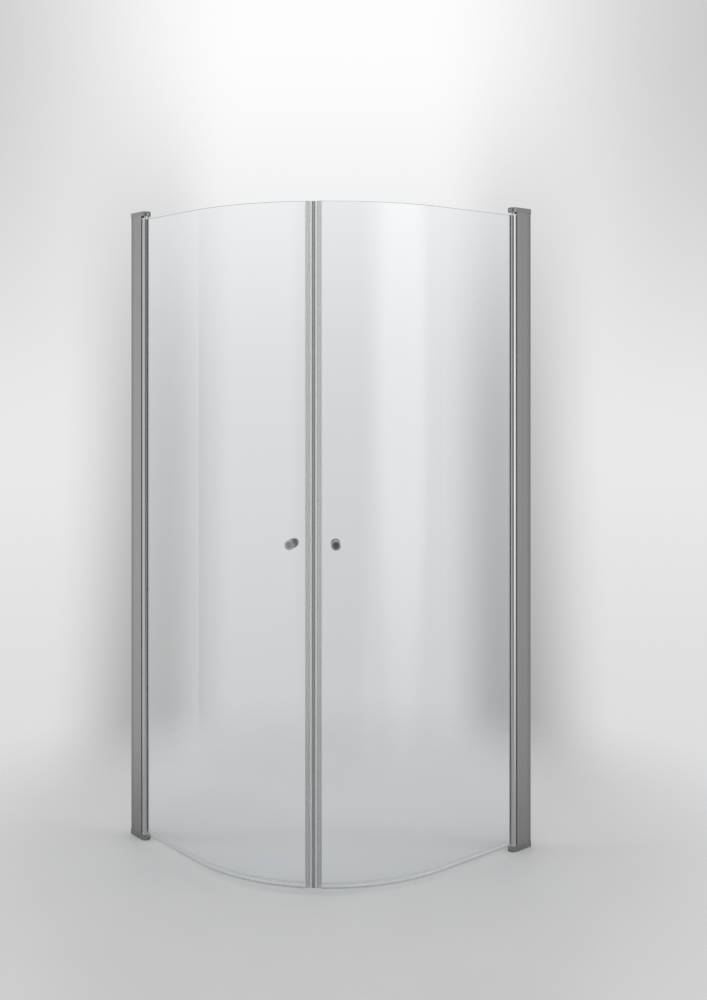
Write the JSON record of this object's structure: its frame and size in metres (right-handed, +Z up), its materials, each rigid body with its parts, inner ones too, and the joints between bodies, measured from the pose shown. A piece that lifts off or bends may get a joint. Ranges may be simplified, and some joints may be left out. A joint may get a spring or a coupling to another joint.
{
  "type": "quadrant shower enclosure",
  "caption": "Quadrant corner shower enclosure: bowed clear glass doors on hinge columns in wall profiles, with magnetic closing seals, drip seals and turned knobs.",
  "frame": {"origin": "on the floor, under the middle of the 900 mm square that the enclosure fills; the room's corner is at x = -0.45 m, y = +0.45 m", "axes": "+Z up; -X points into the wall that carries the left profile, +Y into the wall that carries the right profile; the doors bow towards +X and -Y"},
  "size_m": [0.9, 0.9, 1.99],
  "materials": {
    "profile": "satin anodised",
    "channel": "satin anodised, as extruded",
    "cap": "silver grey, fine satin",
    "column": "bright polished and anodised",
    "glass": "clear, toughened, faintly green at the edges",
    "clear_seal": "soft clear vinyl, slightly grey",
    "magnet": "flexible magnet strip, dull black",
    "gasket": "soft, dull black",
    "knob": "polished dark chrome",
    "screw": "stainless, turned",
    "set_screw": "stainless, turned",
    "pin": "stainless, ground",
    "bush": "white acetal",
    "grommet": "soft clear vinyl"
  },
  "bodies": {
    "frame": {"left_wall_channel": "channel", "left_cover_profile": "profile", "left_lock_screws": "screw", "left_top_cap": "cap", "left_bottom_cap": "cap", "left_top_cap_screws": "screw", "left_bottom_cap_screws": "screw", "left_top_pin_screw": "set_screw", "left_bottom_pin_screw": "set_screw", "left_top_pin": "pin", "left_bottom_pin": "pin", "left_thrust_washer": "bush", "right_wall_channel": "channel", "right_cover_profile": "profile", "right_lock_screws": "screw", "right_top_cap": "cap", "right_bottom_cap": "cap", "right_top_cap_screws": "screw", "right_bottom_cap_screws": "screw", "right_top_pin_screw": "set_screw", "right_bottom_pin_screw": "set_screw", "right_top_pin": "pin", "right_bottom_pin": "pin", "right_thrust_washer": "bush"},
    "left_door": {"left_column": "column", "left_top_bush": "bush", "left_bottom_bush": "bush", "left_glazing_gasket": "gasket", "left_glass": "glass", "left_magnet_seal": "clear_seal", "left_magnet_strip": "magnet", "left_bottom_seal": "clear_seal", "left_outer_knob": "knob", "left_inner_knob": "knob", "left_knob_stud": "screw", "left_knob_grommets": "grommet"},
    "right_door": {"right_column": "column", "right_top_bush": "bush", "right_bottom_bush": "bush", "right_glazing_gasket": "gasket", "right_glass": "glass", "right_magnet_seal": "clear_seal", "right_magnet_strip": "magnet", "right_bottom_seal": "clear_seal", "right_outer_knob": "knob", "right_inner_knob": "knob", "right_knob_stud": "screw", "right_knob_grommets": "grommet"}
  },
  "joints": [
    {"name": "left_door_hinge", "type": "hinge", "parent": "frame", "child": "left_door", "pos_m": [-0.382, -0.435, 0.995], "axis": [0, 0, 1], "range_deg": [-90, 80]},
    {"name": "right_door_hinge", "type": "hinge", "parent": "frame", "child": "right_door", "pos_m": [0.435, 0.382, 0.995], "axis": [0, 0, 1], "range_deg": [-80, 90]}
  ]
}
